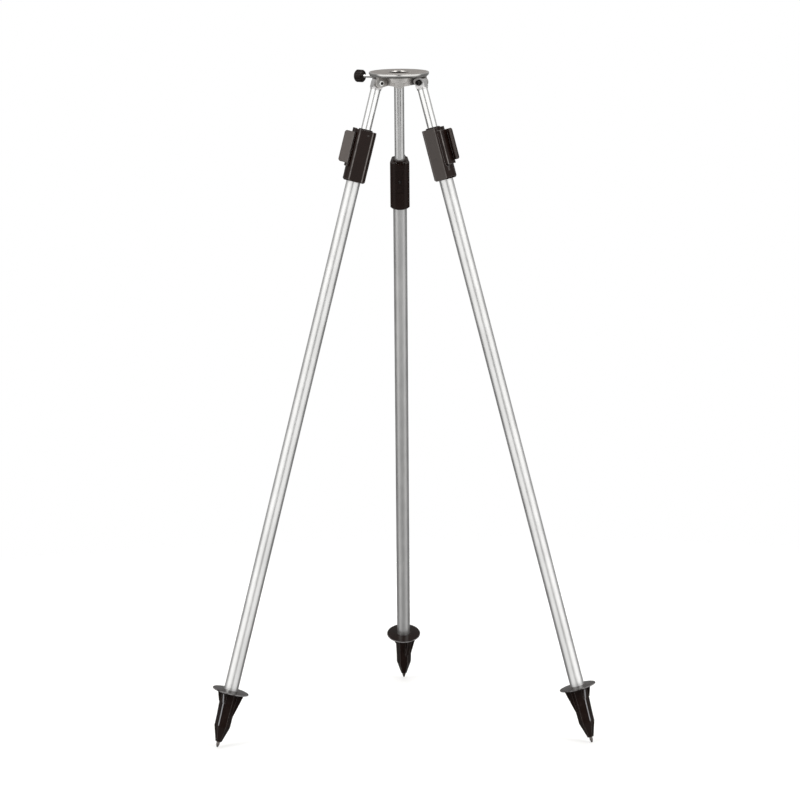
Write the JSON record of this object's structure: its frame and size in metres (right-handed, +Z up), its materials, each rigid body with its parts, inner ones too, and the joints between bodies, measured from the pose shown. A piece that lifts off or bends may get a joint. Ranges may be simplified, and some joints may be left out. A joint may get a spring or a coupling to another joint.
{
  "type": "surveyor_tripod",
  "caption": "Pole tripod for surveying: round cast head with a side clamp screw, telescopic legs on hinges with lever clamps, and step feet with spikes, one leg drawn out further",
  "frame": {"origin": "middle of the footprint box, on the floor", "axes": "+Z up, +X to the right seen from the front, -Y to the front; the back leg is on +Y"},
  "size_m": [0.7576, 0.7052, 1.3331],
  "materials": {
    "cast_aluminium": "satin",
    "machined_aluminium": "polished",
    "anodised_aluminium": "satin",
    "plated_steel": "polished",
    "black_steel": "satin",
    "brass_pad": "satin",
    "clamp_plastic": "gloss",
    "lever_plastic": "gloss",
    "knob_plastic": "satin",
    "guide_plastic": "satin",
    "foot_plastic": "gloss"
  },
  "bodies": {
    "head": {"head_casting": "cast_aluminium", "hinge_bolt_left": "black_steel", "bolt_washer_left": "black_steel", "nut_washer_left": "plated_steel", "hinge_nut_left": "plated_steel", "hinge_bolt_right": "black_steel", "bolt_washer_right": "black_steel", "nut_washer_right": "plated_steel", "hinge_nut_right": "plated_steel", "hinge_bolt_back": "black_steel", "bolt_washer_back": "black_steel", "nut_washer_back": "plated_steel", "hinge_nut_back": "plated_steel"},
    "pressure_pad_slide": {"pressure_pad": "brass_pad"},
    "clamp_screw_turn": {"clamp_screw": "plated_steel", "clamp_knob": "knob_plastic"},
    "upper_leg_left": {"leg_lug_left": "machined_aluminium", "upper_tube_left": "anodised_aluminium", "guide_plug_left": "guide_plastic"},
    "lower_leg_left": {"clamp_body_left": "clamp_plastic", "clamp_jaw_left": "clamp_plastic", "lever_pin_left": "black_steel", "jaw_screw_left": "black_steel", "clamp_pin_left": "black_steel", "lower_tube_left": "anodised_aluminium", "foot_left": "foot_plastic", "foot_tip_left": "plated_steel"},
    "lever_left": {"clamp_lever_left": "lever_plastic"},
    "upper_leg_right": {"leg_lug_right": "machined_aluminium", "upper_tube_right": "anodised_aluminium", "guide_plug_right": "guide_plastic"},
    "lower_leg_right": {"clamp_body_right": "clamp_plastic", "clamp_jaw_right": "clamp_plastic", "lever_pin_right": "black_steel", "jaw_screw_right": "black_steel", "clamp_pin_right": "black_steel", "lower_tube_right": "anodised_aluminium", "foot_right": "foot_plastic", "foot_tip_right": "plated_steel"},
    "lever_right": {"clamp_lever_right": "lever_plastic"},
    "upper_leg_back": {"leg_lug_back": "machined_aluminium", "upper_tube_back": "anodised_aluminium", "guide_plug_back": "guide_plastic"},
    "lower_leg_back": {"clamp_body_back": "clamp_plastic", "clamp_jaw_back": "clamp_plastic", "lever_pin_back": "black_steel", "jaw_screw_back": "black_steel", "clamp_pin_back": "black_steel", "lower_tube_back": "anodised_aluminium", "foot_back": "foot_plastic", "foot_tip_back": "plated_steel"},
    "lever_back": {"clamp_lever_back": "lever_plastic"}
  },
  "joints": [
    {"name": "clamp_feed", "type": "slide", "parent": "head", "child": "pressure_pad_slide", "axis": [0.8658, -0.4967, -0.0609], "range_m": [0, 0.014]},
    {"name": "knob_turn", "type": "hinge", "parent": "pressure_pad_slide", "child": "clamp_screw_turn", "pos_m": [-0.06466, -0.21587, 1.31934], "axis": [0.8658, -0.4967, -0.0609], "range_deg": [0, 5040]},
    {"name": "hinge_left", "type": "hinge", "parent": "head", "child": "upper_leg_left", "pos_m": [-0.03744, -0.27944, 1.30532], "axis": [-0.4996, 0.8603, 0.1016], "range_deg": [-16.4, 0]},
    {"name": "extend_left", "type": "slide", "parent": "upper_leg_left", "child": "lower_leg_left", "axis": [-0.2483, -0.0298, -0.9682], "range_m": [-0.078, 0.6145]},
    {"name": "release_left", "type": "hinge", "parent": "lower_leg_left", "child": "lever_left", "pos_m": [-0.09109, -0.28284, 1.18059], "axis": [-0.2483, -0.0298, -0.9682], "range_deg": [0, 90]},
    {"name": "hinge_right", "type": "hinge", "parent": "head", "child": "upper_leg_right", "pos_m": [0.04743, -0.27944, 1.30499], "axis": [-0.5004, -0.8603, -0.0977], "range_deg": [-16.4, 0]},
    {"name": "extend_right", "type": "slide", "parent": "upper_leg_right", "child": "lower_leg_right", "axis": [0.2407, -0.0298, -0.9701], "range_m": [-0.075, 0.6175]},
    {"name": "release_right", "type": "hinge", "parent": "lower_leg_right", "child": "lever_right", "pos_m": [0.08897, -0.3016, 1.18074], "axis": [0.2407, -0.0298, -0.9701], "range_deg": [0, 90]},
    {"name": "hinge_back", "type": "hinge", "parent": "head", "child": "upper_leg_back", "pos_m": [0.00503, -0.20643, 1.31362], "axis": [1, 0, -0.0039], "range_deg": [-16.4, 0]},
    {"name": "extend_back", "type": "slide", "parent": "upper_leg_back", "child": "lower_leg_back", "axis": [-0.0036, 0.3909, -0.9204], "range_m": [-0.157, 0.5355]},
    {"name": "release_back", "type": "hinge", "parent": "lower_leg_back", "child": "lever_back", "pos_m": [0.01156, -0.10496, 1.12505], "axis": [-0.0036, 0.3909, -0.9204], "range_deg": [0, 90]}
  ],
  "couplings": [
    {"joint": "knob_turn", "follows": "clamp_feed", "rad_per_m": 6283.2}
  ]
}
